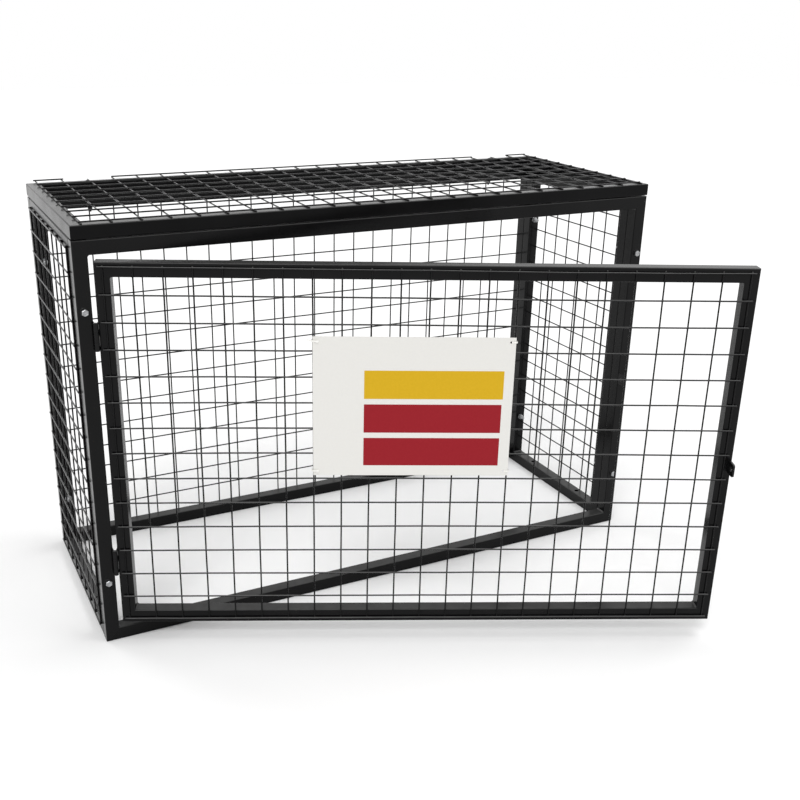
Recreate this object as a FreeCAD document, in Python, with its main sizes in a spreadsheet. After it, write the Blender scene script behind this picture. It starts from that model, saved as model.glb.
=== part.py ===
import FreeCAD, Part
import os
import Sketcher
from FreeCAD import Vector

# Welded steel cage for gas cylinders: four bolted panels, a lid and one hinged door.
# Lengths are in millimetres and angles in degrees. The origin is on the floor in the middle
# of the footprint, with X to the right along the front, Y to the back and Z up.

DRIVING_SIZES = (
    ("cage_width", 1400.0, "outside width over the frames"),
    ("cage_depth", 513.6, "outside depth over the frames"),
    ("frame_height", 903.0, "height of the four upright panels, under the lid"),
    ("tube", 30.0, "outside width of the square tube"),
    ("tube_wall", 2.0, "wall of the square tube"),
    ("wire", 3.0, "thickness of a mesh wire"),
    ("nub", 10.0, "length of wire past the outermost crossing"),
    ("nub_upright", 3.0, "the same at the head and foot of an upright wire"),
    ("nub_side", 6.0, "the same at the ends of a side's level wires"),
    ("nub_lock", 8.0, "the same at the lock edge of the door"),
    ("nub_lid_left", 5.3, "the same at the left of the lid"),
    ("nub_lid_right", 2.0, "the same at the right of the lid"),
    ("door_angle", 24.4, "how far the door stands open"),
    ("hinge_gap", 5.5, "gap between the hinge stile and the closed door"),
    ("lock_gap", 14.5, "gap between the closed door and the lock stile"),
    ("door_rail_gap", 13.3, "gap under and over the closed door"),
    ("pivot_from_stile", 2.0, "hinge axis to the side of the hinge stile"),
    ("pivot_forward", 7.0, "hinge axis in front of the frame"),
    ("hinge_height", 57.0, "height of a hinge"),
    ("hinge_leaf", 2.0, "thickness of a hinge leaf"),
    ("hinge_leaf_depth", 31.0, "reach of a leaf back from the hinge axis"),
    ("hinge_barrel", 10.0, "diameter of the hinge barrel"),
    ("hinge_pin", 6.0, "diameter of the hinge pin"),
    ("pin_clearance", 0.05, "radial play of the door knuckle on its pin"),
    ("knuckle_play", 0.5, "upright play between two knuckles"),
    ("knuckle_room", 1.0, "room left in a leaf around the other leaf's knuckle"),
    ("pin_head", 8.0, "diameter of the pin's head"),
    ("pin_head_height", 1.5, "height of the pin's head"),
    ("hinge_above_foot", 153.2, "middle of the lower hinge above the foot of the door"),
    ("hinge_below_head", 151.2, "middle of the upper hinge below the head of the door"),
    ("lock_plate", 4.0, "thickness of the two padlock plates"),
    ("lock_plate_height", 29.0, "height of the padlock plates"),
    ("lock_plate_reach", 25.0, "how far the padlock plates stand forward"),
    ("lock_corner", 5.0, "radius of the outer corners of the padlock plates"),
    ("lock_hole", 11.0, "diameter of the padlock hole"),
    ("lock_hole_reach", 12.8, "padlock hole in front of the frame"),
    ("lock_below_middle", 26.2, "middle of the padlock plates below the middle of the door"),
    ("lug_inset", 1.7, "door padlock plate in from the edge of its stile"),
    ("catch_inset", 0.5, "frame padlock plate in from the edge of its stile"),
    ("fixing_hole", 12.0, "diameter of the floor fixing holes"),
    ("fixing_spacing", 222.0, "distance between the two fixing holes of a side"),
    ("sign_width", 411.5, "width of the sign"),
    ("sign_height", 306.0, "height of the sign"),
    ("sign_plate", 2.0, "thickness of the sign"),
    ("sign_aside", 29.25, "middle of the sign from the middle of the door to its hinges"),
    ("sign_raise", 109.8, "middle of the sign above the middle of the door"),
    ("sign_hole", 5.0, "diameter of the four holes of the sign"),
    ("sign_hole_inset", 10.0, "holes of the sign in from its edges"),
    ("door_near_u", 17.7, "first upright wire of the door from its hinge edge"),
    ("door_far_u", 16.62, "last upright wire from the lock edge"),
    ("door_cell_u", 58.5, "wanted width of a mesh cell"),
    ("door_near_v", 11.1, "lowest level wire from the foot of the door"),
    ("door_far_v", 8.98, "highest level wire from the head of the door"),
    ("door_cell_v", 57.0, "wanted height of a mesh cell"),
    ("back_near_u", 36.3, "first upright wire of the back from its left edge, from behind"),
    ("back_far_u", 22.11, "last upright wire from the right edge"),
    ("back_cell_u", 58.5, "wanted width of a mesh cell"),
    ("back_near_v", 25.0, "lowest level wire from the foot of the back"),
    ("back_far_v", 23.0, "highest level wire from the head of the back"),
    ("back_cell_v", 57.0, "wanted height of a mesh cell"),
    ("side_front_u", 17.7, "front upright wire of a side from the front frame"),
    ("side_rear_u", 9.66, "rear upright wire from the back frame"),
    ("side_cell_u", 53.0, "wanted width of a mesh cell"),
    ("side_near_v", 22.1, "lowest level wire from the foot of a side"),
    ("side_far_v", 20.02, "highest level wire from the head of a side"),
    ("side_cell_v", 50.5, "wanted height of a mesh cell"),
    ("lid_near_u", 23.1, "first wire of the lid that runs to the back, from the left edge"),
    ("lid_far_u", 19.9, "last wire that runs to the back, from the right edge"),
    ("lid_cell_u", 59.0, "wanted width of a mesh cell"),
    ("lid_near_v", 10.8, "first wire of the lid that runs across, from the front edge"),
    ("lid_past_v", 7.95, "last wire that runs across, past the rear edge"),
    ("lid_cell_v", 57.0, "wanted depth of a mesh cell"),
    ("lid_cut_inner", 4.5, "stub left past a wire where the lid mesh is cut away"),
    ("lid_cut_back", 8.0, "how much shorter the wire in the middle of the cut is"),
)

# Sizes that follow from the driving ones.
DERIVED_SIZES = (
    ("side_length", "=cage_depth - 2 * tube", "length of a side panel"),
    ("door_width", "=cage_width - 2 * tube - hinge_gap - lock_gap", "width of the door"),
    ("door_height", "=frame_height - 2 * tube - 2 * door_rail_gap", "height of the door"),
    ("door_foot", "=tube + door_rail_gap", "foot of the door above the floor"),
    ("pivot_x", "=tube + pivot_from_stile - cage_width / 2", "hinge axis across"),
    ("pivot_y", "=-cage_depth / 2 - pivot_forward", "hinge axis in depth"),
    ("knuckle", "=(hinge_height - 2 * knuckle_play) / 3", "height of a hinge knuckle"),
    ("hinge_low", "=door_foot + hinge_above_foot", "middle of the lower hinge"),
    ("hinge_high", "=door_foot + door_height - hinge_below_head", "middle of the upper hinge"),
    ("lock_foot", "=(door_height - lock_plate_height) / 2 - lock_below_middle",
     "foot of the padlock plates above the foot of the door"),
    ("sign_left", "=(door_width - sign_width) / 2 - sign_aside",
     "left edge of the sign from the hinge edge of the door"),
    ("sign_foot", "=(door_height - sign_height) / 2 + sign_raise",
     "foot of the sign above the foot of the door"),
    ("mesh_out", "=tube + 2 * wire", "outer face of a mesh above the inner face of its frame"),
)

# Each mesh fills the span between its outermost wires with equal cells, as near as whole cells
# come to the wanted size.
MESH_SPANS = (
    ("door", "u", "door_width - door_near_u - door_far_u"),
    ("door", "v", "door_height - door_near_v - door_far_v"),
    ("back", "u", "cage_width - back_near_u - back_far_u"),
    ("back", "v", "frame_height - back_near_v - back_far_v"),
    ("side", "u", "side_length - side_front_u - side_rear_u"),
    ("side", "v", "frame_height - side_near_v - side_far_v"),
    ("lid", "u", "cage_width - lid_near_u - lid_far_u"),
    ("lid", "v", "cage_depth - lid_near_v + lid_past_v"),
)
MESH_SIZES = tuple(
    entry for mesh, way, span in MESH_SPANS for entry in (
        ("%s_cells_%s" % (mesh, way), "=round((%s) / %s_cell_%s)" % (span, mesh, way),
         "number of cells"),
        ("%s_count_%s" % (mesh, way), "=%s_cells_%s + 1" % (mesh, way), "number of wires"),
        ("%s_pitch_%s" % (mesh, way), "=(%s) / %s_cells_%s" % (span, mesh, way),
         "spacing of the wires"),
    ))

doc = FreeCAD.newDocument("GasCylinderCage")
sizes = doc.addObject("Spreadsheet::Sheet", "Sizes")
for row, (alias, value, meaning) in enumerate(DRIVING_SIZES + DERIVED_SIZES + MESH_SIZES, start=1):
    sizes.set("A%d" % row, alias)
    sizes.set("B%d" % row, str(value))
    sizes.setAlias("B%d" % row, alias)
    sizes.set("C%d" % row, meaning)
doc.recompute()


def value_of(expression):
    """Number that an expression on the sheet has now."""
    return float(sizes.evalExpression(expression.replace("Sizes.", "")))


def new_body(label, placement):
    """Empty body whose Placement follows the sheet."""
    body = doc.addObject("PartDesign::Body", label)
    body.Label = label
    body.setExpression("Placement", placement)
    return body


def origin_feature(body, role):
    return next(item for item in body.Origin.OriginFeatures if item.Role == role)


def new_sketch(body, name, plane, raised=None):
    """Sketch on one of the body's own origin planes, raised along its normal if asked."""
    sketch = body.newObject("Sketcher::SketchObject", name)
    sketch.AttachmentSupport = [(origin_feature(body, plane), "")]
    sketch.MapMode = "FlatFace"
    if raised:
        sketch.setExpression("AttachmentOffset.Base.z", raised)
    return sketch


def place_point(sketch, geometry, point, across, up):
    """Fix a point of the sketch by two expressions measured from the sketch's origin."""
    for kind, axis, expression in (("DistanceX", -2, across), ("DistanceY", -1, up)):
        if expression == "0":
            sketch.addConstraint(Sketcher.Constraint("PointOnObject", geometry, point, axis))
            continue
        size = value_of(expression)
        index = sketch.addConstraint(
            Sketcher.Constraint(kind, -1, 1, geometry, point, size))
        sketch.setExpression("Constraints[%d]" % index, expression)


def draw_polygon(sketch, corners):
    """Closed outline through corners given as pairs of expressions."""
    points = [Vector(value_of(across), value_of(up), 0) for across, up in corners]
    first = sketch.GeometryCount
    count = len(points)
    for index in range(count):
        line = Part.LineSegment(points[index], points[(index + 1) % count])
        sketch.addGeometry(line, False)
    for index in range(count):
        following = first + (index + 1) % count
        sketch.addConstraint(
            Sketcher.Constraint("Coincident", first + index, 2, following, 1))
    for index, (across, up) in enumerate(corners):
        place_point(sketch, first + index, 1, across, up)


def draw_rectangle(sketch, left, foot, right, head):
    draw_polygon(sketch, ((left, foot), (right, foot), (right, head), (left, head)))


def draw_circle(sketch, across, up, diameter):
    centre = Vector(value_of(across), value_of(up), 0)
    circle = Part.Circle(centre, Vector(0, 0, 1), value_of(diameter) / 2)
    geometry = sketch.addGeometry(circle, False)
    place_point(sketch, geometry, 3, across, up)
    index = sketch.addConstraint(
        Sketcher.Constraint("Diameter", geometry, value_of(diameter)))
    sketch.setExpression("Constraints[%d]" % index, diameter)


def pad(body, name, sketch, length):
    feature = body.newObject("PartDesign::Pad", name)
    feature.Profile = sketch
    feature.setExpression("Length", length)
    sketch.Visibility = False
    return feature


def pocket(body, name, sketch, length=None, forward=False):
    """Cut against the sketch's normal, or along it if forward, to a length or right through."""
    feature = body.newObject("PartDesign::Pocket", name)
    feature.Profile = sketch
    feature.Reversed = forward
    if length:
        feature.setExpression("Length", length)
    else:
        feature.Type = "ThroughAll"
    sketch.Visibility = False
    return feature


def pattern(body, name, feature, role, pitch, count):
    """Repeat a feature along one of the body's own axes."""
    repeated = body.newObject("PartDesign::LinearPattern", name)
    repeated.Originals = [feature]
    repeated.Direction = (origin_feature(body, role), [""])
    repeated.setExpression("Length", "%s * (%s - 1)" % (pitch, count))
    repeated.setExpression("Occurrences", count)
    repeated.Refine = False
    body.Tip = repeated
    return repeated


# A panel is drawn flat: u along its foot, v up it and w out through it, with the inner face of its
# tubes at w = 0. These placements stand the panels up, seen from outside the cage.
def panel_placement(corner, yaw):
    return ("placement(vector(%s); rotation(vector(0; 0; 1); %s))"
            " * placement(vector(0; 0; 0); rotation(vector(1; 0; 0); 90))" % (corner, yaw))


HALF_WIDTH = "Sizes.cage_width / 2"
HALF_DEPTH = "Sizes.cage_depth / 2"
FRONT = panel_placement("-%s; Sizes.tube - %s; 0" % (HALF_WIDTH, HALF_DEPTH), "0")
BACK = panel_placement("%s; %s - Sizes.tube; 0" % (HALF_WIDTH, HALF_DEPTH), "180")
LEFT = panel_placement(
    "Sizes.tube - %s; %s - Sizes.tube; 0" % (HALF_WIDTH, HALF_DEPTH), "-90")
RIGHT = panel_placement(
    "%s - Sizes.tube; Sizes.tube - %s; 0" % (HALF_WIDTH, HALF_DEPTH), "90")
LID = ("placement(vector(-%s; -%s; Sizes.frame_height); rotation(vector(0; 0; 1); 0))"
       % (HALF_WIDTH, HALF_DEPTH))
PIVOT = ("placement(vector(Sizes.pivot_x; Sizes.pivot_y; 0);"
         " rotation(vector(0; 0; 1); %s))")
DOOR_PIVOT = PIVOT % "-Sizes.door_angle"
DOOR = DOOR_PIVOT + (
    " * placement(vector(Sizes.hinge_gap - Sizes.pivot_from_stile;"
    " Sizes.pivot_forward + Sizes.tube; Sizes.door_foot); rotation(vector(1; 0; 0); 90))")


def moved(placement, across, up, out="0", turn="0"):
    """Placement carried on inside a panel."""
    return "%s * placement(vector(%s; %s; %s); rotation(vector(0; 0; 1); %s))" % (
        placement, across, up, out, turn)


def mitred_tube(label, placement, length):
    """Square tube with both ends mitred, its long outer side on the body's X axis."""
    body = new_body(label, placement)
    side = new_sketch(body, "SideView", "XY_Plane")
    inner_end = "%s - Sizes.tube" % length
    draw_polygon(side, (("0", "0"), (length, "0"), (inner_end, "Sizes.tube"),
                        ("Sizes.tube", "Sizes.tube")))
    pad(body, "Bar", side, "Sizes.tube")
    hollow = new_sketch(body, "Hollow", "YZ_Plane")
    far_wall = "Sizes.tube - Sizes.tube_wall"
    draw_rectangle(hollow, "Sizes.tube_wall", "Sizes.tube_wall", far_wall, far_wall)
    body.Tip = pocket(body, "Bore", hollow, forward=True)
    return body


def panel_frame(panel, placement, width, height, names):
    """Four mitred tubes around a panel: foot, right stile, head and left stile."""
    foot, right, head, left = names
    return (
        mitred_tube("%s_%s" % (panel, foot), moved(placement, "0", "0"), width),
        mitred_tube("%s_%s" % (panel, right), moved(placement, width, "0", turn="90"), height),
        mitred_tube("%s_%s" % (panel, head), moved(placement, width, height, turn="180"), width),
        mitred_tube("%s_%s" % (panel, left), moved(placement, "0", height, turn="270"), height),
    )


def fixing_holes(body, length):
    """Two round holes down through a bottom rail for the floor bolts."""
    plan = new_sketch(body, "FixingHoles", "XZ_Plane")
    for sign in ("-", "+"):
        middle = "%s / 2 %s Sizes.fixing_spacing / 2" % (length, sign)
        draw_circle(plan, middle, "Sizes.tube / 2", "Sizes.fixing_hole")
    body.Tip = pocket(body, "FixingBores", plan)


def wire_mesh(label, placement, prefix, first_u, first_v, nubs):
    """Welded mesh in two layers on a panel: wires along v below, wires along u above them.

    The nubs are how far the wires pass the outermost crossings: left, right, foot and head.
    """
    left, right, foot, head = nubs
    body = new_body(label, placement)
    pitch_u = "Sizes.%s_pitch_u" % prefix
    count_u = "Sizes.%s_count_u" % prefix
    pitch_v = "Sizes.%s_pitch_v" % prefix
    count_v = "Sizes.%s_count_v" % prefix
    last_u = "%s + %s * (%s - 1)" % (first_u, pitch_u, count_u)
    last_v = "%s + %s * (%s - 1)" % (first_v, pitch_v, count_v)
    upright = new_sketch(body, "UprightWire", "XY_Plane", "Sizes.tube")
    draw_rectangle(upright, "%s - Sizes.wire / 2" % first_u, "%s - %s" % (first_v, foot),
                   "%s + Sizes.wire / 2" % first_u, "%s + %s" % (last_v, head))
    upright_bar = pad(body, "UprightBar", upright, "Sizes.wire")
    level = new_sketch(body, "LevelWire", "XY_Plane", "Sizes.tube + Sizes.wire")
    draw_rectangle(level, "%s - %s" % (first_u, left), "%s - Sizes.wire / 2" % first_v,
                   "%s + %s" % (last_u, right), "%s + Sizes.wire / 2" % first_v)
    level_bar = pad(body, "LevelBar", level, "Sizes.wire")
    pattern(body, "UprightBars", upright_bar, "X_Axis", pitch_u, count_u)
    pattern(body, "LevelBars", level_bar, "Y_Axis", pitch_v, count_v)
    return body


def cut_lid_mesh(body):
    """Open the last wire of the lid over two bolts, between its second and fourth cross wires."""
    last_v = "Sizes.cage_depth + Sizes.lid_past_v"
    near = "Sizes.lid_near_u + Sizes.lid_pitch_u + Sizes.lid_cut_inner"
    far = "Sizes.lid_near_u + 3 * Sizes.lid_pitch_u - Sizes.wire / 2"
    mirror = "Sizes.cage_width + Sizes.lid_near_u - Sizes.lid_far_u"
    sketch = new_sketch(body, "BoltCuts", "XY_Plane", "Sizes.mesh_out")
    foot = "%s - Sizes.lid_cut_back" % last_v
    head = "%s + 2 * Sizes.wire" % last_v
    draw_rectangle(sketch, near, foot, far, head)
    draw_rectangle(sketch, "%s - (%s)" % (mirror, far), foot, "%s - (%s)" % (mirror, near), head)
    body.Tip = pocket(body, "BoltClearance", sketch, "2 * Sizes.wire")


def hinge_leaf(label, placement, near, far, knuckles, bore):
    """Leaf from near to far beside the axis, with the knuckles it carries, one height each."""
    body = new_body(label, placement)
    plate = new_sketch(body, "Leaf", "XY_Plane")
    draw_rectangle(plate, near, "0", far, "Sizes.hinge_leaf_depth")
    pad(body, "LeafPlate", plate, "Sizes.hinge_height")
    barrel = new_sketch(body, "Barrel", "XY_Plane")
    draw_circle(barrel, "0", "0", "Sizes.hinge_barrel")
    pad(body, "BarrelRod", barrel, "Sizes.hinge_height")
    room = "(Sizes.hinge_barrel / 2 + Sizes.knuckle_room)"
    step = "(Sizes.knuckle + Sizes.knuckle_play)"
    for place in (0, 1, 2):
        if place in knuckles:
            continue
        foot = "%d * %s - Sizes.knuckle_play" % (place, step)
        height = "Sizes.knuckle + 2 * Sizes.knuckle_play"
        gap = new_sketch(body, "Gap%d" % place, "XY_Plane", foot)
        draw_rectangle(gap, "-" + room, "-" + room, room, room)
        pocket(body, "KnuckleGap%d" % place, gap, height, forward=True)
    axis = new_sketch(body, "PinAxis", "XY_Plane")
    draw_circle(axis, "0", "0", bore)
    body.Tip = pocket(body, "PinBore", axis, forward=True)
    return body


def hinge(name, middle):
    """Butt hinge in the gap beside the door: a leaf on each stile and the pin through both."""
    foot = "%s - Sizes.hinge_height / 2" % middle
    at_frame = moved(PIVOT % "0", "0", "0", foot)
    at_door = moved(DOOR_PIVOT, "0", "0", foot)
    to_door = "Sizes.hinge_gap - Sizes.pivot_from_stile"
    hinge_leaf("%s_hinge_frame_leaf" % name, at_frame, "-Sizes.pivot_from_stile",
               "Sizes.hinge_leaf - Sizes.pivot_from_stile", (0, 2), "Sizes.hinge_pin")
    hinge_leaf("%s_hinge_door_leaf" % name, at_door, "%s - Sizes.hinge_leaf" % to_door,
               to_door, (1,), "Sizes.hinge_pin + 2 * Sizes.pin_clearance")
    pin = new_body("%s_hinge_pin" % name, at_frame)
    shank = new_sketch(pin, "Shank", "XY_Plane")
    draw_circle(shank, "0", "0", "Sizes.hinge_pin")
    pad(pin, "PinShank", shank, "Sizes.hinge_height")
    head = new_sketch(pin, "Head", "XY_Plane", "Sizes.hinge_height")
    draw_circle(head, "0", "0", "Sizes.pin_head")
    pad(pin, "PinHead", head, "Sizes.pin_head_height")


def padlock_plate(label, placement):
    """Plate standing forward from a tube, with rounded outer corners and a padlock hole."""
    body = new_body(label, placement)
    outline = new_sketch(body, "Outline", "YZ_Plane")
    draw_rectangle(outline, "0", "0", "Sizes.lock_plate_height", "Sizes.lock_plate_reach")
    plate = pad(body, "Plate", outline, "Sizes.lock_plate")
    doc.recompute()
    reach = value_of("Sizes.lock_plate_reach")
    corners = [
        "Edge%d" % number for number, edge in enumerate(plate.Shape.Edges, start=1)
        if all(abs(vertex.Z - reach) < 0.01 for vertex in edge.Vertexes)
        and abs(edge.Vertexes[0].X - edge.Vertexes[-1].X) > 1]
    rounding = body.newObject("PartDesign::Fillet", "OuterCorners")
    rounding.Base = (plate, corners)
    rounding.setExpression("Radius", "Sizes.lock_corner")
    hole = new_sketch(body, "HolePlace", "YZ_Plane")
    draw_circle(hole, "Sizes.lock_plate_height / 2", "Sizes.lock_hole_reach", "Sizes.lock_hole")
    body.Tip = pocket(body, "PadlockHole", hole, forward=True)


def build_frames():
    names = ("bottom_rail", "right_stile", "top_rail", "left_stile")
    mirrored = ("bottom_rail", "left_stile", "top_rail", "right_stile")
    seen_left = ("bottom_rail", "front_stile", "top_rail", "rear_stile")
    seen_right = ("bottom_rail", "rear_stile", "top_rail", "front_stile")
    around_lid = ("front_rail", "right_rail", "rear_rail", "left_rail")
    width = "Sizes.cage_width"
    height = "Sizes.frame_height"
    depth = "Sizes.side_length"
    panel_frame("front", FRONT, width, height, names)
    panel_frame("back", BACK, width, height, mirrored)
    left_tubes = panel_frame("left", LEFT, depth, height, seen_left)
    right_tubes = panel_frame("right", RIGHT, depth, height, seen_right)
    panel_frame("lid", LID, width, "Sizes.cage_depth", around_lid)
    panel_frame("door", DOOR, "Sizes.door_width", "Sizes.door_height", names)
    fixing_holes(left_tubes[0], depth)
    fixing_holes(right_tubes[0], depth)


def build_meshes():
    upright = ("Sizes.nub_upright", "Sizes.nub_upright")
    around_back = ("Sizes.nub", "Sizes.nub") + upright
    around_side = ("Sizes.nub_side", "Sizes.nub_side") + upright
    around_door = ("Sizes.nub", "Sizes.nub_lock") + upright
    around_lid = ("Sizes.nub_lid_left", "Sizes.nub_lid_right", "Sizes.nub", "Sizes.wire / 2")
    wire_mesh("back_mesh", BACK, "back", "Sizes.back_near_u", "Sizes.back_near_v", around_back)
    wire_mesh("left_mesh", LEFT, "side", "Sizes.side_rear_u", "Sizes.side_near_v", around_side)
    wire_mesh("right_mesh", RIGHT, "side", "Sizes.side_front_u", "Sizes.side_near_v", around_side)
    wire_mesh("door_mesh", DOOR, "door", "Sizes.door_near_u", "Sizes.door_near_v", around_door)
    lid = wire_mesh("lid_mesh", LID, "lid", "Sizes.lid_near_u", "Sizes.lid_near_v", around_lid)
    cut_lid_mesh(lid)


def build_sign():
    body = new_body("sign_plate", moved(DOOR, "Sizes.sign_left", "Sizes.sign_foot",
                                        "Sizes.mesh_out"))
    outline = new_sketch(body, "Outline", "XY_Plane")
    draw_rectangle(outline, "0", "0", "Sizes.sign_width", "Sizes.sign_height")
    pad(body, "Plate", outline, "Sizes.sign_plate")
    holes = new_sketch(body, "Holes", "XY_Plane")
    for across in ("Sizes.sign_hole_inset", "Sizes.sign_width - Sizes.sign_hole_inset"):
        for up in ("Sizes.sign_hole_inset", "Sizes.sign_height - Sizes.sign_hole_inset"):
            draw_circle(holes, across, up, "Sizes.sign_hole")
    body.Tip = pocket(body, "TieHoles", holes, forward=True)


build_frames()
build_meshes()
hinge("lower", "Sizes.hinge_low")
hinge("upper", "Sizes.hinge_high")
padlock_plate("door_lock_lug",
              moved(DOOR, "Sizes.door_width - Sizes.lug_inset - Sizes.lock_plate",
                    "Sizes.lock_foot", "Sizes.tube"))
padlock_plate("frame_lock_catch",
              moved(FRONT, "Sizes.cage_width - Sizes.tube + Sizes.catch_inset",
                    "Sizes.door_foot + Sizes.lock_foot", "Sizes.tube"))
build_sign()
doc.recompute()

bodies = [item for item in doc.Objects if item.TypeId == "PartDesign::Body"]
for item in doc.Objects:
    if "Invalid" in item.State or "Error" in item.State:
        raise RuntimeError("%s did not build: %s" % (item.Label, item.State))
for body in bodies:
    shape = body.Shape
    if shape.isNull() or not shape.isValid() or len(shape.Solids) != 1:
        raise RuntimeError("%s is not one good solid" % body.Label)

os.makedirs("parts", exist_ok=True)
for body in bodies:
    body.Shape.exportStep("parts/%s.step" % body.Label)
    print("%-24s %10.0f mm3" % (body.Label, body.Shape.Volume))
print("%d sub-parts" % len(bodies))
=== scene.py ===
import math
import random

import bmesh
import bpy
from mathutils import Matrix, Vector

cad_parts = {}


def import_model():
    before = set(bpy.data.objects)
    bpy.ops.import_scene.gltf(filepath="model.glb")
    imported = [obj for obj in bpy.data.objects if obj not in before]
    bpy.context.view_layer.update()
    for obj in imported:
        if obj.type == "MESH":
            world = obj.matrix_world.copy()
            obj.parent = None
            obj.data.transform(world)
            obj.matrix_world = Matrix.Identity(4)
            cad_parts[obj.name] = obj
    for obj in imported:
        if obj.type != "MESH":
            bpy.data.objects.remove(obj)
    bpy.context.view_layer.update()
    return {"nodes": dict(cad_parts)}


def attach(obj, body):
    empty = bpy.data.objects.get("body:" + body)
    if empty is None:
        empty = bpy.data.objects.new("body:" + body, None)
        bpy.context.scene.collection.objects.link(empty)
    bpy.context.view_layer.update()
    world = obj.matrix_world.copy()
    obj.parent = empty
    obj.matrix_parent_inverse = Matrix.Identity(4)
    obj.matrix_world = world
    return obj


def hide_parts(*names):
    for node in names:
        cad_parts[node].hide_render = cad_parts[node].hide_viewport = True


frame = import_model()
nodes = frame["nodes"]
rng = random.Random(11)

# Sizes in metres, from the left front foot of the cage: x across, y to the back, z up.
WIDTH = 1.400
DEPTH = 0.5136
HEIGHT = 0.903  # of the four upright frames
CENTRE = Vector((WIDTH / 2, DEPTH / 2, 0.0))

# Square tube: its size, its wall and the radius of its rolled corners.
TUBE = 0.030
WALL = 0.002
ROLL = 0.0026

# Wire: bare, and with its coat.
WIRE = 0.003
COATED = 0.0034
WANDER = 0.00025  # how far a wire strays at each crossing

# How far the level wires lie out of true.
DOOR_BOW = 0.0034
DOOR_LIFT = 0.0020  # more of it in the upper left part
BACK_DROP = 0.0030
BACK_END_DROP = 0.0012  # more of it near the left end
RIGHT_DROP = 0.0030  # at the rear end

LID_GAP = 0.0018  # seam between the lid and the frames under it
FIXING = 0.222  # between the two floor fixing holes of a side
FIXING_RADIUS = 0.006
BOLT_LEVELS = (0.7601, 0.1477)
LID_BOLTS = (0.138, 1.248)
LID_BOLT_INSET = 0.018

# Door: its frame, and how it hangs.
DOOR_WIDTH = 1.320
DOOR_HEIGHT = 0.8164
DOOR_FOOT = 0.0433  # above the floor
DOOR_ANGLE = math.radians(24.4)
HINGE_ASIDE = 0.002  # axis of the hinge from the edge of the doorway
HINGE_AHEAD = 0.007  # axis of the hinge in front of the front frame
DOOR_ASIDE = 0.0035  # edge of the door from the axis of the hinge
HINGE_LEVELS = (("lower", 0.1965), ("upper", 0.7085))

# Sign on the door's mesh.
SIGN_FACE = TUBE + 2 * WIRE + 0.002
SIGN_EDGES = (0.425, 0.8365)
TIE_LEVELS = (0.661, 0.375)


def row(x, y, z):
    """Point of the cage in the row frame."""
    return Vector((x, y, z)) - CENTRE


class Panel:
    """Flat panel: u along its foot, v up it, w out through it from the inner face of its tubes."""

    def __init__(self, origin, u, v, width, height, body):
        self.origin = origin
        self.u = u.normalized()
        self.v = v.normalized()
        self.w = self.u.cross(self.v)
        self.width = width
        self.height = height
        self.body = body

    def at(self, u, v, w):
        return self.origin + self.u * u + self.v * v + self.w * w


X = Vector((1, 0, 0))
Y = Vector((0, 1, 0))
Z = Vector((0, 0, 1))
door_u = Vector((math.cos(DOOR_ANGLE), -math.sin(DOOR_ANGLE), 0))
door_in = Vector((math.sin(DOOR_ANGLE), math.cos(DOOR_ANGLE), 0))
hinge_axis = row(TUBE + HINGE_ASIDE, -HINGE_AHEAD, 0)
door_origin = (hinge_axis + door_u * DOOR_ASIDE + door_in * (HINGE_AHEAD + TUBE)
               + Z * DOOR_FOOT)

SIDE = DEPTH - 2 * TUBE
front = Panel(row(0, TUBE, 0), X, Z, WIDTH, HEIGHT, "cage")
back = Panel(row(WIDTH, DEPTH - TUBE, 0), -X, Z, WIDTH, HEIGHT, "cage")
left = Panel(row(TUBE, DEPTH - TUBE, 0), -Y, Z, SIDE, HEIGHT, "cage")
right = Panel(row(WIDTH - TUBE, TUBE, 0), Y, Z, SIDE, HEIGHT, "cage")
lid = Panel(row(0, 0, HEIGHT), X, Y, WIDTH, DEPTH, "cage")
door = Panel(door_origin, door_u, Z, DOOR_WIDTH, DOOR_HEIGHT, "door")


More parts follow.
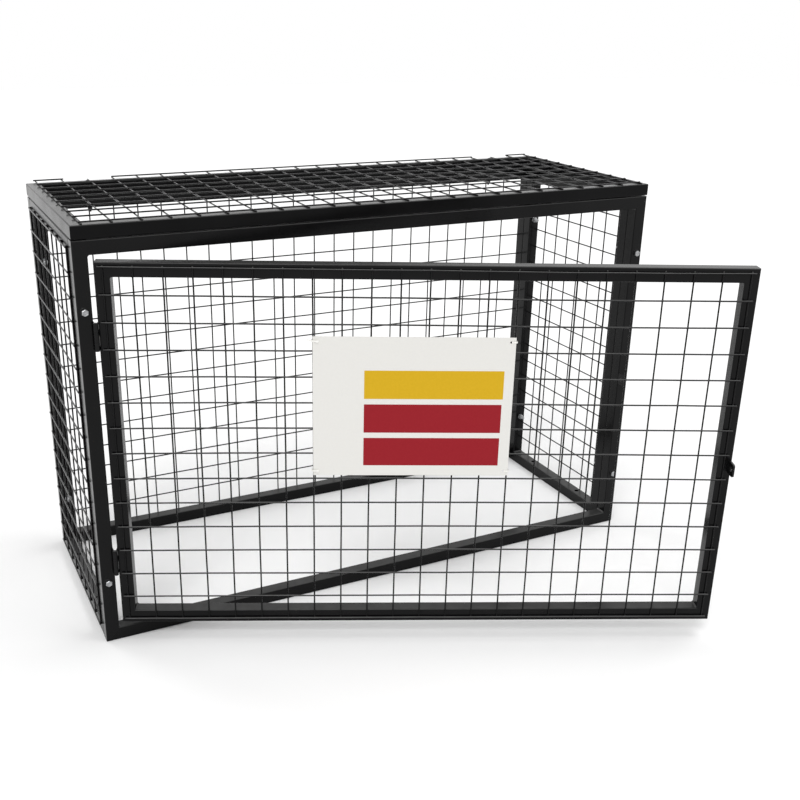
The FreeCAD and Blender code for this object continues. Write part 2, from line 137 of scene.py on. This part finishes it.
class Nodes:
    """Small helper to write a material's node tree."""

    def __init__(self, name):
        self.material = bpy.data.materials.new(name)
        self.material.use_nodes = True
        self.tree = self.material.node_tree
        self.tree.nodes.clear()
        self.output = self.tree.nodes.new("ShaderNodeOutputMaterial")
        self.shader = self.tree.nodes.new("ShaderNodeBsdfPrincipled")
        self.link(self.shader.outputs[0], self.output.inputs["Surface"])
        self.coords = self.tree.nodes.new("ShaderNodeTexCoord").outputs["Object"]

    def link(self, source, target):
        self.tree.links.new(source, target)

    def noise(self, scale, detail):
        node = self.tree.nodes.new("ShaderNodeTexNoise")
        node.inputs["Scale"].default_value = scale
        node.inputs["Detail"].default_value = detail
        self.link(self.coords, node.inputs["Vector"])
        return node.outputs["Fac"]

    def spread(self, value, low, high, low_in=0.3, high_in=0.7):
        """Value from low to high as the input goes from low_in to high_in."""
        node = self.tree.nodes.new("ShaderNodeMapRange")
        node.inputs["From Min"].default_value = low_in
        node.inputs["From Max"].default_value = high_in
        node.inputs["To Min"].default_value = low
        node.inputs["To Max"].default_value = high
        self.link(value, node.inputs["Value"])
        return node.outputs[0]

    def colours(self, value, first, second):
        """Colour from first to second over the middle of the value's range."""
        node = self.tree.nodes.new("ShaderNodeValToRGB")
        for element, position, colour in zip(node.color_ramp.elements, (0.3, 0.7),
                                             (first, second)):
            element.position = position
            element.color = (*colour, 1)
        self.link(value, node.inputs["Fac"])
        return node.outputs["Color"]

    def bump(self, height, strength, distance, before=None):
        node = self.tree.nodes.new("ShaderNodeBump")
        node.inputs["Strength"].default_value = strength
        node.inputs["Distance"].default_value = distance
        self.link(height, node.inputs["Height"])
        if before:
            self.link(before, node.inputs["Normal"])
        return node.outputs["Normal"]

    def upward(self):
        """How far the surface faces up."""
        facing = self.tree.nodes.new("ShaderNodeNewGeometry").outputs["Normal"]
        split = self.tree.nodes.new("ShaderNodeSeparateXYZ")
        self.link(facing, split.inputs[0])
        return split.outputs["Z"]

    def top_lit_and_dusted(self, paint, top_light_and_dust):
        """Painted light from above, partly dust: lighter where the surface faces up, with thinner
        and thicker patches.
        """
        amount = self.tree.nodes.new("ShaderNodeMath")
        amount.operation = "MULTIPLY"
        self.link(self.spread(self.upward(), 0.0, 1.0, 0.05, 0.70), amount.inputs[0])
        self.link(self.spread(self.noise(26, 4), 0.7, 1.0), amount.inputs[1])
        mix = self.tree.nodes.new("ShaderNodeMix")
        mix.data_type = "RGBA"
        self.link(amount.outputs[0], mix.inputs[0])
        self.link(paint, mix.inputs[6])
        mix.inputs[7].default_value = (top_light_and_dust, top_light_and_dust, top_light_and_dust * 0.99, 1)
        return mix.outputs[2]


def black_coat(name, low, high, grain, specular, top_light_and_dust, specular_up=None):
    """Black powder coat: a fine orange peel over slow waves in the tube, and up-facing sides
    painted lighter as light from above, partly dust.

    Low and high bound the roughness; specular_up is for faces that look up, if it differs.
    """
    m = Nodes(name)
    paint = m.colours(m.noise(9, 5), (0.0022, 0.0022, 0.0024), (0.0045, 0.0045, 0.0048))
    # Up-facing sides painted lighter: painted top light, partly dust.
    m.link(m.top_lit_and_dusted(paint, top_light_and_dust), m.shader.inputs["Base Color"])
    m.link(m.spread(m.noise(14, 4), low, high), m.shader.inputs["Roughness"])
    m.shader.inputs["Specular IOR Level"].default_value = specular
    if specular_up:
        m.link(m.spread(m.upward(), specular, specular_up, 0.3, 0.9),
               m.shader.inputs["Specular IOR Level"])
    waves = m.bump(m.noise(5, 2), 0.12, 0.004)
    m.link(m.bump(m.noise(900, 2), grain, 0.0002, waves), m.shader.inputs["Normal"])
    return m.material


def zinc(name):
    """Bright zinc plating."""
    m = Nodes(name)
    m.shader.inputs["Metallic"].default_value = 1.0
    m.link(m.colours(m.noise(260, 4), (0.27, 0.275, 0.285), (0.42, 0.425, 0.43)),
           m.shader.inputs["Base Color"])
    m.link(m.spread(m.noise(420, 3), 0.26, 0.44), m.shader.inputs["Roughness"])
    m.link(m.bump(m.noise(1500, 2), 0.15, 0.0001), m.shader.inputs["Normal"])
    return m.material


def plastic(name, first, second, scale, rough=0.4, grain=0.1, specular=0.35):
    """Satin plastic or print, faintly mottled between two colours."""
    m = Nodes(name)
    m.link(m.colours(m.noise(scale, 4), first, second), m.shader.inputs["Base Color"])
    m.link(m.spread(m.noise(scale * 2, 3), rough - 0.05, rough + 0.07),
           m.shader.inputs["Roughness"])
    m.shader.inputs["Specular IOR Level"].default_value = specular
    m.link(m.bump(m.noise(1400, 2), grain, 0.0001), m.shader.inputs["Normal"])
    return m.material


# The number after the specular level is the painted top light, partly dust, on up-facing sides.
COAT = black_coat("black_tube", 0.15, 0.23, 0.12, 0.13, 0.05)
LID_COAT = black_coat("black_lid_tube", 0.15, 0.23, 0.12, 0.08, 0.05, 0.16)
WIRE_COAT = black_coat("black_wire", 0.16, 0.26, 0.2, 0.14, 0.105)
WALL_WIRE_COAT = black_coat("black_wall_wire", 0.14, 0.24, 0.2, 0.24, 0.035)
WELD_COAT = black_coat("black_weld", 0.20, 0.36, 0.6, 0.24, 0.03)
TACK_COAT = black_coat("black_tack", 0.14, 0.26, 0.5, 0.8, 0.03)
HINGE_COAT = black_coat("black_hinge", 0.22, 0.36, 0.3, 0.17, 0.03)
ZINC = zinc("zinc")
SIGN = plastic("sign_board", (0.785, 0.775, 0.742), (0.80, 0.79, 0.757), 220,
               rough=0.42, grain=0.06, specular=0.3)
YELLOW = plastic("sign_yellow", (0.66, 0.405, 0.012), (0.69, 0.425, 0.015), 220,
                 grain=0.05, specular=0.12)
RED = plastic("sign_red", (0.300, 0.011, 0.019), (0.318, 0.013, 0.021), 220,
              grain=0.05, specular=0.12)
TIE = plastic("tie_nylon", (0.90, 0.89, 0.85), (0.95, 0.94, 0.91), 200)


def piece(name, vertices, faces, panel, material, slot, smooth_angle=None, nodes_for=()):
    """Mesh object that rides on its panel's body."""
    mesh = bpy.data.meshes.new(name)
    mesh.from_pydata([tuple(v) for v in vertices], [], faces)
    mesh.validate()
    mesh.materials.append(material)
    if smooth_angle:
        mesh.polygons.foreach_set("use_smooth", [True] * len(mesh.polygons))
        mesh.set_sharp_from_angle(angle=math.radians(smooth_angle))
    thing = bpy.data.objects.new(name, mesh)
    bpy.context.scene.collection.objects.link(thing)
    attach(thing, panel if isinstance(panel, str) else panel.body)
    if nodes_for:
        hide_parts(*nodes_for)
    return thing


# Corners of a frame or a section, anticlockwise from the foot: (at the right, at the top).
CORNERS = ((0, 0), (1, 0), (1, 1), (0, 1))


def tube_profile():
    """Section of the square tube with its rolled corners: (in from the outer side, depth)."""
    points = []
    arc_steps = 4
    for corner, (across, up) in enumerate(CORNERS):
        cx = ROLL + across * (TUBE - 2 * ROLL)
        cy = ROLL + up * (TUBE - 2 * ROLL)
        for step in range(arc_steps + 1):
            turn = math.radians(180 + 90 * corner + 90 * step / arc_steps)
            points.append((cx + ROLL * math.cos(turn), cy + ROLL * math.sin(turn)))
    return points


def frame_loop(name, panel, nodes_for, material):
    """Four mitred tubes as one welded and ground loop with rolled corners.

    The two sides are drilled for the floor fixings, so their tubes are drawn hollow.
    """
    drilled = panel in (left, right)
    vertices = []
    faces = []
    skins = [(tube_profile(), 1)]
    if drilled:
        far = TUBE - WALL
        skins.append(([(WALL, WALL), (far, WALL), (far, far), (WALL, far)], -1))
    for profile, way in skins:
        count = len(profile)
        first = len(vertices)
        for right_side, top in CORNERS:
            for inward, depth in profile:
                u = panel.width - inward if right_side else inward
                v = panel.height - inward if top else inward
                if panel is lid:
                    depth = LID_GAP + depth * (1 - LID_GAP / TUBE)
                vertices.append(panel.at(u, v, depth))
        for corner in range(4):
            following = (corner + 1) % 4
            for k in range(count):
                n = (k + 1) % count
                face = (corner * count + k, following * count + k,
                        following * count + n, corner * count + n)
                faces.append(tuple(first + index for index in face[::way]))
    thing = piece(name, vertices, faces, panel, material, "black_coat", 40, nodes_for)
    if drilled:
        drill_rail(thing, panel)
    else:
        fix_normals(thing)
    weighted = thing.modifiers.new("flat", "WEIGHTED_NORMAL")
    weighted.keep_sharp = True


def drill_rail(thing, panel):
    """Two floor fixing holes down through the bottom rail of a side."""
    build = Build()
    clear = 0.005
    for way in (-1, 1):
        place = panel.at(panel.width / 2 + way * FIXING / 2, -clear, TUBE / 2)
        build.lathe(place, panel.v,
                    ((FIXING_RADIUS, 0), (FIXING_RADIUS, TUBE + 2 * clear)), 24)
    mesh = bpy.data.meshes.new("drill")
    mesh.from_pydata([tuple(v) for v in build.vertices], [], build.faces)
    drill = bpy.data.objects.new("drill", mesh)
    bpy.context.scene.collection.objects.link(drill)
    fix_normals(drill)
    cut = thing.modifiers.new("holes", "BOOLEAN")
    cut.operation = "DIFFERENCE"
    cut.solver = "EXACT"
    cut.object = drill
    bpy.context.view_layer.update()
    drilled = thing.evaluated_get(bpy.context.evaluated_depsgraph_get())
    thing.data = bpy.data.meshes.new_from_object(drilled)
    thing.modifiers.clear()
    bpy.data.objects.remove(drill)
    thing.data.set_sharp_from_angle(angle=math.radians(40))


def fix_normals(thing):
    """Turn all faces outward."""
    shape = bmesh.new()
    shape.from_mesh(thing.data)
    bmesh.ops.recalc_face_normals(shape, faces=shape.faces)
    shape.to_mesh(thing.data)
    shape.free()


def circle(centre, side, other, radius, count, turn=0.0):
    """Points round a centre, from side towards other."""
    angles = [2 * math.pi * k / count + turn for k in range(count)]
    return [centre + (side * math.cos(a) + other * math.sin(a)) * radius for a in angles]


class Build:
    """Collects many small bodies into one mesh."""

    def __init__(self):
        self.vertices = []
        self.faces = []

    def rings(self, rings):
        """Skin over rings of equal count, closed at both ends."""
        first = len(self.vertices)
        count = len(rings[0])
        for ring in rings:
            self.vertices.extend(ring)
        for r in range(len(rings) - 1):
            for k in range(count):
                n = (k + 1) % count
                a = first + r * count
                self.faces.append((a + k, a + n, a + count + n, a + count + k))
        self.faces.append(tuple(first + k for k in reversed(range(count))))
        last = first + (len(rings) - 1) * count
        self.faces.append(tuple(last + k for k in range(count)))

    def lathe(self, origin, axis, profile, sides, turn=0.0):
        """Rings of (radius, height) about an axis."""
        side = Z if abs(axis.z) < 0.5 else -Y
        other = axis.cross(side)
        self.rings([circle(origin + axis * height, side, other, radius, sides, turn)
                    for radius, height in profile])

    def rod(self, points, radius, sides):
        """Round wire through points, with a small rounded end."""
        start, end = points[0], points[-1]
        axis = (end - start).normalized()
        side = axis.orthogonal().normalized()
        other = axis.cross(side)
        lead = axis * radius * 0.35
        tip = radius * 0.72
        stations = ([(start, tip), (start + lead, radius)]
                    + [(point, radius) for point in points[1:-1]]
                    + [(end - lead, radius), (end, tip)])
        self.rings([circle(centre, side, other, size, sides) for centre, size in stations])

    def ball(self, centre, axis, across, along):
        """Small flattened weld nugget."""
        profile = ((across * 0.5, -along * 0.85), (across, -along * 0.35),
                   (across, along * 0.35), (across * 0.5, along * 0.85))
        self.lathe(centre, axis, profile, 8)


def steps(first, pitch, count):
    """Even places of the wires of a sheet."""
    return [first + pitch * k for k in range(count)]


def clamp(value):
    """Value held between 0 and 1."""
    return min(max(value, 0.0), 1.0)


def bowed(panel, u, v):
    """Height of a level wire: the sheets are a few millimetres out of true."""
    if panel is door:
        rise = math.sqrt(math.sin(math.pi * clamp(u / panel.width)))
        bow = DOOR_BOW * rise * math.sin(math.pi * v / (0.81 * panel.height))
        lift = DOOR_LIFT * clamp((v - 0.345) / 0.06) * clamp((0.92 - u) / 0.25)
        return v + bow + lift * clamp(0.4 + 2.8 * u)
    if panel is back:
        return v - BACK_DROP - BACK_END_DROP * clamp((u - 0.9) / 0.4)
    if panel is right:
        return v - RIGHT_DROP * clamp(u / panel.width)
    return v


def wire_mesh(name, panel, uprights, levels, nubs, node, cut=None):
    """Two layers of round wire welded where they cross; nubs are left, right, foot, head.

    Cut says which uprights end short of the last level wire, how far back they end, and
    between which places that wire is missing, there and at its mirror image.
    """
    radius = COATED / 2
    low = TUBE + radius
    high = TUBE + 2 * WIRE - 0.0002 - radius
    left_nub, right_nub, foot_nub, head_nub = nubs
    sides = 12
    build = Build()
    v0 = levels[0] - foot_nub
    for i, u in enumerate(uprights):
        v1 = levels[-1] + head_nub
        if cut and i in cut["short"]:
            v1 = levels[-1] - cut["back"]
        line = [v0] + [v for v in levels if v0 + 0.001 < v < v1 - 0.002] + [v1]
        points = [panel.at(u + rng.uniform(-WANDER, WANDER), v, low) for v in line]
        build.rod(points, radius, sides)
    start, end = uprights[0] - left_nub, uprights[-1] + right_nub
    for j, v in enumerate(levels):
        spans = [(start, end)]
        wander = WANDER
        inside = nugget_inside = 0.0
        if cut and j == len(levels) - 1:
            a, b = cut["gap"]
            both = uprights[0] + uprights[-1]
            spans = [(start, a), (b, both - b), (both - a, end)]
            wander = 0.0
            inside = (COATED - WIRE) / 2 + 0.0001
            nugget_inside = 0.0011
        for u0, u1 in spans:
            line = [u0] + [u for u in uprights if u0 + 0.001 < u < u1 - 0.0025] + [u1]
            points = [panel.at(u, bowed(panel, u, v) - inside + rng.uniform(-wander, wander),
                               high) for u in line]
            build.rod(points, radius, sides)
            for u in uprights:
                if u0 < u < u1:
                    centre = panel.at(u, bowed(panel, u, v) - nugget_inside, (low + high) / 2)
                    build.ball(centre, panel.w, rng.uniform(0.0019, 0.0024), 0.0012)
    material = WIRE_COAT if panel is door else WALL_WIRE_COAT
    piece(name, build.vertices, build.faces, panel, material, "black_coat", 50, (node,))


def corner_welds(name, panel):
    """Fillet bead inside each corner of a frame, the depth of the tube."""
    build = Build()
    leg = 0.0036
    sink = 0.0006
    margin = 0.0012
    count = 15
    for su, sv in CORNERS:
        u0 = panel.width - TUBE if su else TUBE
        v0 = panel.height - TUBE if sv else TUBE
        du = -1 if su else 1
        dv = -1 if sv else 1
        rings = []
        for k in range(count):
            w = margin + (TUBE - 2 * margin) * k / (count - 1)
            swell = 1 + 0.10 * math.sin(k * 2.3 + su * 2 + sv) + rng.uniform(-0.05, 0.05)
            if k in (0, count - 1):
                swell *= 0.8
            a = leg * swell
            ring = [panel.at(u0 - du * sink, v0 - dv * sink, w),
                    panel.at(u0 + du * a, v0 - dv * sink, w),
                    panel.at(u0 + du * a * 0.62, v0 + dv * a * 0.20, w),
                    panel.at(u0 + du * a * 0.36, v0 + dv * a * 0.36, w),
                    panel.at(u0 + du * a * 0.20, v0 + dv * a * 0.62, w),
                    panel.at(u0 - du * sink, v0 + dv * a, w)]
            rings.append(ring)
        build.rings(rings)
    fix_normals(piece(name, build.vertices, build.faces, panel, WELD_COAT, "black_coat", 60))


UPRIGHT = ("bottom_rail", "right_stile", "top_rail", "left_stile")
SIDEWAYS = ("bottom_rail", "front_stile", "top_rail", "rear_stile")
FLAT = ("front_rail", "right_rail", "rear_rail", "left_rail")
PANELS = (("front", front, UPRIGHT), ("back", back, UPRIGHT), ("left", left, SIDEWAYS),
          ("right", right, SIDEWAYS), ("lid", lid, FLAT), ("door", door, UPRIGHT))


def frames():
    """The six frames with the welds inside their corners."""
    for label, panel, parts in PANELS:
        frame_loop(label + "_frame", panel, ["%s_%s" % (label, part) for part in parts],
                   LID_COAT if panel in (lid, left) else COAT)
        corner_welds(label + "_corner_welds", panel)


def meshes():
    """The five sheets of wire, with the places of their wires."""
    nub = 0.003
    wire_mesh("door_wires", door, steps(0.0167, 0.05844, 23), steps(0.0111, 0.05688, 15),
              (0.010, 0.008, nub, nub), "door_mesh")
    # The back's uprights drift to the right near its right end.
    drift = 0.0079
    uprights = [u - 0.0003 - drift * max(0, 1 - k / 8) ** 1.3
                for k, u in enumerate(steps(0.0363, 0.05833, 24))]
    wire_mesh("back_wires", back, uprights, steps(0.025, 0.057, 16),
              (0.010, 0.010, nub, nub), "back_mesh")
    for label, panel, first in (("right", right, 0.0158), ("left", left, 0.00966)):
        wire_mesh(label + "_wires", panel, steps(first, 0.05328, 9), steps(0.0221, 0.05064, 18),
                  (0.006, 0.006, nub, nub), label + "_mesh")
    first, pitch = 0.0231, 0.059
    wire_mesh("lid_wires", lid, steps(first, pitch, 24), steps(0.0108, 0.05675, 10),
              (0.0053, 0.002, 0.010, 0.0014), "lid_mesh",
              {"short": (2, 21), "back": 0.008,
               "gap": (first + pitch + 0.0045, first + 3 * pitch - 0.0015)})


def hex_head(build, place, axis, across=0.013, height=0.0053, turn=0.0):
    """Hexagon with its chamfered crown."""
    radius = across / 2 / math.cos(math.pi / 6)
    profile = ((radius * 0.97, 0.0), (radius, 0.0004), (radius, height * 0.82),
               (radius * 0.86, height), (radius * 0.66, height), (radius * 0.5, height - 0.0008),
               (radius * 0.15, height - 0.0011))
    build.lathe(place, axis, profile, 6, turn)


def washer(build, place, axis, radius=0.0078, height=0.0014):
    """Flat washer with softened edges."""
    profile = ((radius - 0.0003, 0.0), (radius, 0.0003), (radius, height - 0.0003),
               (radius - 0.0004, height), (0.0045, height))
    build.lathe(place, axis, profile, 28)


def thread(build, place, axis, length, radius=0.0039):
    """End of a bolt, with grooves in place of its thread."""
    pitch = 0.00125
    profile = []
    turns = int(length / pitch)
    for k in range(turns):
        z = k * pitch
        profile += [(radius, z), (radius, z + 0.00035), (radius * 0.86, z + 0.0008)]
    profile += [(radius, turns * pitch), (radius * 0.8, length)]
    build.lathe(place, axis, profile, 18)


def nut(build, place, axis, turn, tail=0.009):
    """Washer, nut and the end of the bolt through it."""
    under, height = 0.0014, 0.0065
    washer(build, place, axis, height=under)
    hex_head(build, place + axis * under, axis, height=height, turn=turn)
    thread(build, place + axis * (under + height), axis, tail)


def bolts():
    """Bolts that join the panels, and the two down through the lid."""
    zinc_build = Build()
    dark = Build()
    for x in (TUBE / 2, WIDTH - TUBE / 2):
        for z in BOLT_LEVELS:
            turn = rng.uniform(-0.12, 0.12)
            washer(dark, row(x - 0.0018, 0, z + 0.0018), -Y, 0.0082, 0.001)
            hex_head(zinc_build, row(x, -0.001, z), -Y, turn=turn)
            nut(zinc_build, row(x, 2 * TUBE, z), Y, turn + 0.4)
            nut(zinc_build, row(x, DEPTH - 2 * TUBE, z), -Y, turn + 0.7)
            washer(dark, row(x, DEPTH, z), Y, 0.0079, 0.001)
            hex_head(zinc_build, row(x, DEPTH + 0.001, z), Y, turn=turn)
    thin = 0.0010
    for x in LID_BOLTS:
        top = row(x, DEPTH - LID_BOLT_INSET, HEIGHT + TUBE)
        washer(dark, top, Z, 0.0064, thin)
        dark.lathe(top + Z * thin, Z, ((0.0048, 0), (0.0052, 0.0005), (0.0046, 0.0016),
                                       (0.0028, 0.0023), (0.0010, 0.0025)), 20)
        foot = row(x, DEPTH - LID_BOLT_INSET, HEIGHT - TUBE)
        washer(dark, foot, -Z, 0.0062, thin)
        hex_head(dark, foot - Z * thin, -Z, across=0.010, height=0.005, turn=0.3)
        thread(dark, foot - Z * 0.0060, -Z, 0.005, 0.0029)
    for name, build, material, slot in (("frame_bolts", zinc_build, ZINC, "zinc"),
                                        ("frame_washers", dark, WELD_COAT, "black_coat")):
        fix_normals(piece(name, build.vertices, build.faces, "cage", material, slot, 35))


def bead(build, start, end, radius):
    """Short run of weld with its ripples."""
    sides = 10
    axis = (end - start).normalized()
    side = axis.orthogonal().normalized()
    other = axis.cross(side)
    length = (end - start).length
    count = max(8, int(length / 0.0009))
    rings = []
    for k in range(count + 1):
        along = k / count
        taper = min(1.0, 0.35 + 4.5 * min(along, 1 - along))
        swell = radius * taper * (1 + 0.13 * math.sin(k * 2.1) + rng.uniform(-0.05, 0.05))
        rings.append(circle(start + axis * (length * along), side, other, swell, sides))
    build.rings(rings)


def hinge_welds():
    """Tack welds between the hinge leaves and their stiles."""
    for label, middle in HINGE_LEVELS:
        at_frame = Build()
        for low, high in ((0.008, 0.026), (-0.026, -0.009)):
            bead(at_frame, front.at(TUBE + 0.0002, middle + low, TUBE - 0.0012),
                 front.at(TUBE + 0.0002, middle + high, TUBE - 0.0012), 0.0024)
        at_door = Build()
        foot = middle - DOOR_FOOT
        for low, high in ((-0.021, 0.002), (0.014, 0.026)):
            bead(at_door, door.at(0.0002, foot + low, TUBE - 0.0008),
                 door.at(0.0002, foot + high, TUBE - 0.0008), 0.0022)
        for name, build, panel in (("frame", at_frame, front), ("door", at_door, door)):
            fix_normals(piece("%s_hinge_%s_weld" % (label, name), build.vertices, build.faces,
                              panel, TACK_COAT, "black_coat", 60))


def mitre_seams(name, panel):
    """Weld ground nearly flush across the mitres of a frame, on its outer and inner face."""
    build = Build()
    across = ((-0.0026, -0.0002), (-0.0014, 0.00006), (0.0, 0.00010), (0.0014, 0.00006),
              (0.0026, -0.0002))
    faces = ((TUBE, 1),) if panel is lid else ((TUBE, 1), (0, -1))
    stations = 12
    for su, sv in CORNERS:
        for depth, out in faces:
            rings = []
            for k in range(stations + 1):
                a = 0.0036 + (TUBE - 0.0060) * k / stations
                wide = 1 + rng.uniform(-0.25, 0.25)
                ring = []
                for side, rise in across:
                    u = a + side * 0.707 * wide
                    v = a - side * 0.707 * wide
                    ring.append(panel.at(panel.width - u if su else u,
                                         panel.height - v if sv else v, depth + rise * out))
                rings.append(ring)
            build.rings(rings)
    fix_normals(piece(name, build.vertices, build.faces, panel, COAT, "black_coat", 60))


def strap(build, points, width, thickness, across):
    """Flat cable tie along points, its width along one direction throughout."""
    rings = []
    count = len(points)
    for k, point in enumerate(points):
        ahead = (points[min(k + 1, count - 1)] - points[max(k - 1, 0)]).normalized()
        out = ahead.cross(across).normalized()
        wide = width / 2 * (0.55 if k == count - 1 else 1.0)
        thin = thickness / 2
        rings.append([point + across * wide * 0.8 + out * thin, point + across * wide,
                      point + across * wide * 0.8 - out * thin,
                      point - across * wide * 0.8 - out * thin, point - across * wide,
                      point - across * wide * 0.8 + out * thin])
    build.rings(rings)


def smooth_path(corners, closed):
    """Points of a smooth curve through corners."""
    count = len(corners)
    between = 5
    points = []
    for k in range(count if closed else count - 1):
        a, b, c, d = (corners[(k + n) % count] if closed
                      else corners[min(max(k + n, 0), count - 1)] for n in (-1, 0, 1, 2))
        for step in range(between):
            t = step / between
            points.append(0.5 * ((2 * b) + (c - a) * t + (2 * a - 5 * b + 4 * c - d) * t * t
                                 + (3 * b - a - 3 * c + d) * t * t * t))
    points.append(corners[0] if closed else corners[-1])
    return points


def sign_ties():
    """Four nylon ties through the sign's holes and round the upright wires behind its edges.

    The left ones have their heads and tails in front, and the right ones have their heads behind.
    """
    face = SIGN_FACE
    left_edge, right_edge = SIGN_EDGES
    upper, lower = TIE_LEVELS
    build = Build()
    for way, edge, height, head_in_front, tail in (
            (1, left_edge, upper, True, 0.021), (-1, right_edge, upper, False, 0.0),
            (1, left_edge, lower, True, 0.012), (-1, right_edge, lower, False, 0.0)):

        def at(inward, depth, rise=0.0):
            return door.at(edge + way * inward, height + rise, depth)

        through = 0.0098 if head_in_front else 0.0079
        loop = [at(through, face - 0.002), at(through - 0.0012, face + 0.0006),
                at(0.0042, face + 0.0008), at(-0.0008, face + 0.0006),
                at(-0.0026, face - 0.0016), at(-0.0026, TUBE + 0.002),
                at(-0.0010, TUBE - 0.0010), at(0.0030, TUBE - 0.0012),
                at(0.0064, TUBE + 0.0005), at(through - 0.0004, face - 0.0045)]
        strap(build, smooth_path(loop, True), 0.0034, 0.0010, door.v)
        middle = at(0.0088, face + 0.0016) if head_in_front else at(0.0020, TUBE - 0.0028)
        rings = []
        for shrink, u in ((0.75, -0.0028), (1, -0.0022), (1, 0.0022), (0.75, 0.0028)):
            rings.append([middle + door.u * u + door.v * a * 0.0026 * shrink
                          + door.w * b * 0.0017 * shrink
                          for a, b in ((1, 0.7), (0.7, 1), (-0.7, 1), (-1, 0.7), (-1, -0.7),
                                       (-0.7, -1), (0.7, -1), (1, -0.7))])
        build.rings(rings)
        if tail:
            line = [at(0.009, face + 0.0020, 0.0002), at(0.002, face + 0.0024, 0.0012),
                    at(-0.004, face + 0.0022, 0.0022), at(0.009 - tail, face + 0.0016, 0.0040)]
            strap(build, smooth_path(line, False), 0.0032, 0.0010, door.v)
    fix_normals(piece("sign_ties", build.vertices, build.faces, door, TIE, "tie_nylon", 40))


def sign_fields():
    """Plain coloured fields on the blank sign."""
    corner = 0.0008
    for name, u0, v0, u1, v1, material, slot in (
            ("sign_field_upper", 0.5298, 0.5376, 0.8164, 0.5994, YELLOW, "sign_yellow"),
            ("sign_field_middle", 0.5298, 0.4626, 0.8146, 0.5256, RED, "sign_red"),
            ("sign_field_lower", 0.5298, 0.3880, 0.8142, 0.4506, RED, "sign_red")):
        ring = []
        for cu, cv, start in ((u1 - corner, v1 - corner, 0), (u0 + corner, v1 - corner, 90),
                              (u0 + corner, v0 + corner, 180), (u1 - corner, v0 + corner, 270)):
            for k in range(5):
                a = math.radians(start + 22.5 * k)
                ring.append((cu + corner * math.cos(a), cv + corner * math.sin(a)))
        build = Build()
        build.rings([[door.at(u, v, SIGN_FACE + out) for u, v in ring]
                     for out in (-0.0001, 0.00012)])
        fix_normals(piece(name, build.vertices, build.faces, door, material, slot))


def paint_nodes():
    """Materials of the pieces that come from the source as they are."""
    for name, thing in nodes.items():
        material = SIGN if name == "sign_plate" else COAT
        if "hinge" in name or "lock" in name:
            material = HINGE_COAT
        thing.data.materials.clear()
        thing.data.materials.append(material)


def stage():
    """Plain pale floor."""
    floor_mesh = bpy.data.meshes.new("floor")
    size = 14.0
    floor_mesh.from_pydata([(-size, -size, 0), (size, -size, 0), (size, size, 0),
                            (-size, size, 0)], [], [(0, 1, 2, 3)])
    floor = bpy.data.objects.new("floor", floor_mesh)
    bpy.context.scene.collection.objects.link(floor)
    material = bpy.data.materials.new("floor_paint")
    material.use_nodes = True
    shader = material.node_tree.nodes["Principled BSDF"]
    shader.inputs["Base Color"].default_value = (0.98, 0.98, 0.98, 1)
    shader.inputs["Roughness"].default_value = 0.9
    shader.inputs["Specular IOR Level"].default_value = 0.1
    floor_mesh.materials.append(material)
    floor.location.z = -0.0005


def world(strength):
    """Plain white surroundings; strength is what they give as light."""
    scene_world = bpy.data.worlds.new("studio")
    bpy.context.scene.world = scene_world
    scene_world.use_nodes = True
    tree = scene_world.node_tree
    tree.nodes.clear()
    output = tree.nodes.new("ShaderNodeOutputWorld")
    path = tree.nodes.new("ShaderNodeLightPath")
    seen = path.outputs["Is Camera Ray"]
    for name in ("Is Glossy Ray", "Is Transmission Ray"):
        either = tree.nodes.new("ShaderNodeMath")
        either.operation = "MAXIMUM"
        tree.links.new(seen, either.inputs[0])
        tree.links.new(path.outputs[name], either.inputs[1])
        seen = either.outputs[0]
    mix = tree.nodes.new("ShaderNodeMixShader")
    tree.links.new(seen, mix.inputs[0])
    for socket, level in ((1, strength), (2, 1.0)):
        white = tree.nodes.new("ShaderNodeBackground")
        white.inputs["Color"].default_value = (1, 1, 1, 1)
        white.inputs["Strength"].default_value = level
        tree.links.new(white.outputs[0], mix.inputs[socket])
    tree.links.new(mix.outputs[0], output.inputs["Surface"])


def sun_light(name, direction, strength, spread):
    """Soft distant light that shines from a direction."""
    data = bpy.data.lights.new(name, "SUN")
    data.energy = strength
    data.angle = math.radians(spread)
    light = bpy.data.objects.new(name, data)
    bpy.context.scene.collection.objects.link(light)
    light.location = Vector(direction) * 3
    light.rotation_euler = Vector(direction).to_track_quat("Z", "Y").to_euler()


def camera():
    """Camera of the photograph, fitted to the frame's corners and wires."""
    yaw, pitch, roll = 0.47072, 0.37177, 0.0207
    picture = 800
    focal = 1040.80
    middle_x, middle_y = 384.26, 403.21
    ahead = Vector((math.sin(yaw) * math.cos(pitch), math.cos(yaw) * math.cos(pitch),
                    -math.sin(pitch)))
    across = Vector((math.cos(yaw), -math.sin(yaw), 0))
    up = across.cross(ahead)
    side = across * math.cos(roll) + up * math.sin(roll)
    top = up * math.cos(roll) - across * math.sin(roll)
    data = bpy.data.cameras.new("camera")
    data.sensor_width = 36.0
    data.lens = focal * 36.0 / picture
    data.shift_x = (picture / 2 - middle_x) / picture
    data.shift_y = (middle_y - picture / 2) / picture
    view = bpy.data.objects.new("camera", data)
    bpy.context.scene.collection.objects.link(view)
    turn = Matrix((side, top, -ahead)).transposed().to_4x4()
    view.matrix_world = Matrix.Translation(row(-0.34956, -2.02384, 1.34963)) @ turn
    bpy.context.scene.camera = view


frames()
meshes()
for label, panel, _ in PANELS:
    mitre_seams(label + "_mitre_seams", panel)
bolts()
hinge_welds()
sign_fields()
sign_ties()
paint_nodes()

stage()
world(0.55)
sun_light("key", (-0.35, -0.45, 0.82), 1.2, 28)
sun_light("top", (0.42, -0.10, 0.90), 0.8, 34)
sun_light("rim", (-0.42, 0.80, 0.42), 0.5, 22)
camera()
bpy.context.scene.view_settings.view_transform = "Standard"
